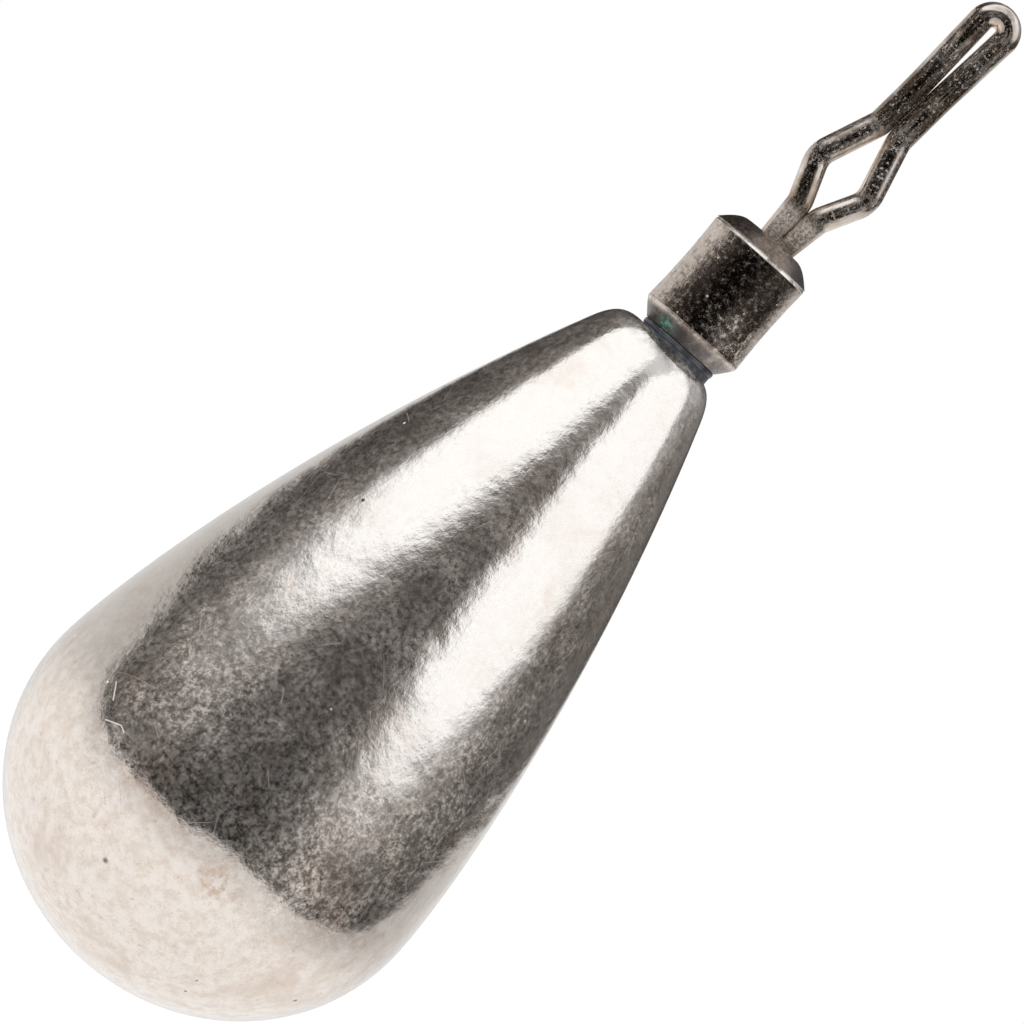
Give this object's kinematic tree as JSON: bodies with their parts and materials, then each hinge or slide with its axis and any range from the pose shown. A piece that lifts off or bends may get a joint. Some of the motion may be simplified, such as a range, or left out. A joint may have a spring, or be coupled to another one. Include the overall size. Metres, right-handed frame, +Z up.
{
  "type": "fishing sinker",
  "caption": "Teardrop fishing weight that hangs from a barrel swivel, with a wire clip that pinches the line.",
  "frame": {"origin": "middle of the clip's eye, where the fishing line holds the sinker", "axes": "+Z up along the weight's axis towards the clip's round top, +X across the clip's flat side, +Y through the eye"},
  "size_m": [0.0099, 0.0098, 0.0284],
  "materials": {
    "weight_metal": "polished sintered tungsten alloy",
    "adhesive": "cured black epoxy",
    "stud_metal": "darkened turned brass",
    "barrel_metal": "black nickel plated brass",
    "clip_wire": "black nickel plated wire"
  },
  "bodies": {
    "clip": {"line_clip": "clip_wire"},
    "barrel": {"swivel_barrel": "barrel_metal"},
    "weight": {"weight_body": "weight_metal", "bond": "adhesive", "anchor_stud": "stud_metal"}
  },
  "joints": [
    {"name": "barrel_spin", "type": "hinge", "parent": "clip", "child": "barrel", "pos_m": [-0.00014, 0, -0.00198], "axis": [-0.0523, 0, 0.9986], "continuous": true},
    {"name": "weight_spin", "type": "hinge", "parent": "barrel", "child": "weight", "pos_m": [0.00002, 0, -0.00509], "axis": [-0.0523, 0, 0.9986], "continuous": true}
  ]
}
